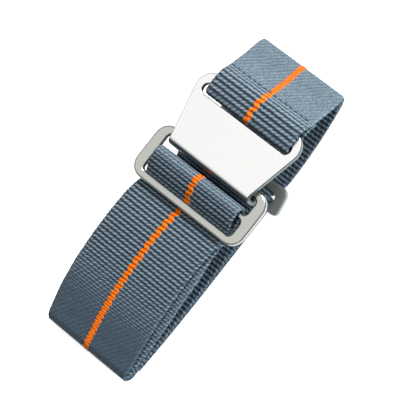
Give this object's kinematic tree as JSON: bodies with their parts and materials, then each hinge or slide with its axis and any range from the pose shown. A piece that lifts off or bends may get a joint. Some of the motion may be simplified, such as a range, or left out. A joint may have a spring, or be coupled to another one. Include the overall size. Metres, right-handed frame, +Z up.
{
  "type": "watch strap",
  "caption": "Closed elastic watch strap of ribbed webbing with a woven centre stripe, a sewn hook plate with a curled jaw, a three-bar ring and a slider.",
  "frame": {"origin": "under the middle of the closed strap, at the level of the surface that it lies on", "axes": "+X along the strap towards the end behind the hook's sewn end, +Y across the webbing, +Z up from the back of the strap to the hook and ring"},
  "size_m": [0.0602, 0.0264, 0.009],
  "materials": {
    "webbing": "ribbed elastic weave, matt",
    "stripe": "woven yarn, matt",
    "thread": "sewing thread",
    "steel": "fine satin"
  },
  "bodies": {
    "strap": {"end_fold": "webbing", "end_stripe": "stripe", "front_web": "webbing", "front_stripe": "stripe", "back_web": "webbing", "back_stripe": "stripe", "inner_back_web": "webbing", "inner_end_web": "webbing", "outer_back_web": "webbing", "tail_stripe": "stripe", "outer_end_web": "webbing", "outer_end_stripe": "stripe"},
    "hook": {"hook": "steel", "hook_fold": "webbing", "hook_stripe": "stripe", "hook_seam": "thread"},
    "slider": {"slider": "steel", "slider_web": "webbing", "tail_fold": "webbing", "tail_seam": "thread"},
    "ring_loop": {"ring_web": "webbing", "ring_stripe": "stripe"},
    "ring": {"ring": "steel"}
  },
  "joints": [
    {"name": "hook_swing", "type": "hinge", "parent": "strap", "child": "hook", "pos_m": [0.00735, 0, 0.0072], "axis": [0, -1, 0], "range_deg": [0, 15], "stiffness_Nm_per_rad": 0.02, "deforming": ["front_web", "front_stripe"]},
    {"name": "loop_stretch", "type": "slide", "parent": "strap", "child": "ring_loop", "axis": [1, 0, 0], "range_m": [0, 0.00075], "stiffness_N_per_m": 150},
    {"name": "ring_tilt", "type": "hinge", "parent": "ring_loop", "child": "ring", "pos_m": [0.0036, 0, 0.00655], "axis": [0, 1, 0], "range_deg": [-1.2, 1.2], "stiffness_Nm_per_rad": 0.002},
    {"name": "slider_slide", "type": "slide", "parent": "strap", "child": "slider", "axis": [1, 0, 0], "range_m": [-0.009, 0.005], "deforming": ["back_web", "back_stripe", "inner_back_web", "outer_back_web", "tail_stripe"]}
  ]
}
